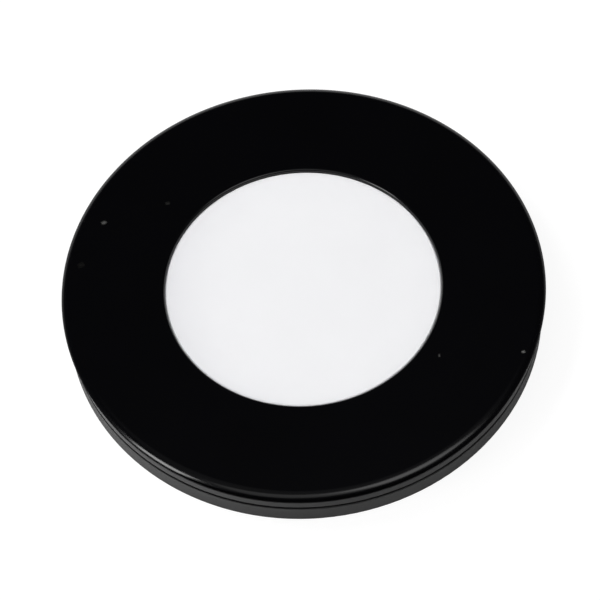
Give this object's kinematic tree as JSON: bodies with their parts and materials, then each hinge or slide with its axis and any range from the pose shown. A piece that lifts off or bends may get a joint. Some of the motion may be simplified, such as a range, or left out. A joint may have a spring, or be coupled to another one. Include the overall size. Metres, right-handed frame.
{
  "type": "puck light",
  "caption": "Slim round surface-mounted puck light with a black trim ring, an opal lens and an edge-lit light head that twists off its mounting plate.",
  "frame": {"origin": "centre of the mounting plate's back face, on the light's axis", "axes": "+Z along the light's axis towards the lens; +Y towards the lead socket; +X to the right seen from the front with the socket up"},
  "size_m": [0.07, 0.07, 0.007],
  "materials": {
    "trim_paint": "satin black paint on die-cast aluminium",
    "housing_paint": "satin black paint on die-cast aluminium",
    "plate_plastic": "moulded black ABS",
    "opal_acrylic": "polished opal acrylic",
    "clear_acrylic": "clear acrylic with a printed dot pattern",
    "white_film": "white polyester film",
    "flex_strip": "flexible polyimide strip with a white solder mask",
    "led_package": "white resin package with a yellow phosphor window",
    "circuit_board": "glass-epoxy board with a green solder mask",
    "chip_resin": "moulded epoxy package",
    "resistor_body": "glazed film resistor with tinned ends",
    "capacitor_ceramic": "fired ceramic with tinned ends",
    "socket_nylon": "natural moulded nylon",
    "contact_brass": "stamped brass",
    "screw_steel": "zinc-plated steel"
  },
  "bodies": {
    "mount": {"mounting_plate": "plate_plastic"},
    "light_head": {"housing": "housing_paint", "trim_ring": "trim_paint", "lens": "opal_acrylic", "light_guide": "clear_acrylic", "reflector_film": "white_film", "led_strip": "flex_strip", "led_01": "led_package", "led_02": "led_package", "led_03": "led_package", "led_04": "led_package", "led_05": "led_package", "led_06": "led_package", "led_07": "led_package", "led_08": "led_package", "led_09": "led_package", "led_10": "led_package", "led_11": "led_package", "led_12": "led_package", "driver_board": "circuit_board", "rectifier": "chip_resin", "current_regulator": "chip_resin", "resistor_1": "resistor_body", "resistor_2": "resistor_body", "resistor_3": "resistor_body", "resistor_4": "resistor_body", "capacitor_1": "capacitor_ceramic", "capacitor_2": "capacitor_ceramic", "lead_socket": "socket_nylon", "contact_left": "contact_brass", "contact_right": "contact_brass", "case_screws": "screw_steel"}
  },
  "joints": [
    {"name": "twist_lock", "type": "hinge", "parent": "mount", "child": "light_head", "pos_m": [0, 0, 0], "axis": [0, 0, 1], "range_deg": [0, 20]}
  ]
}
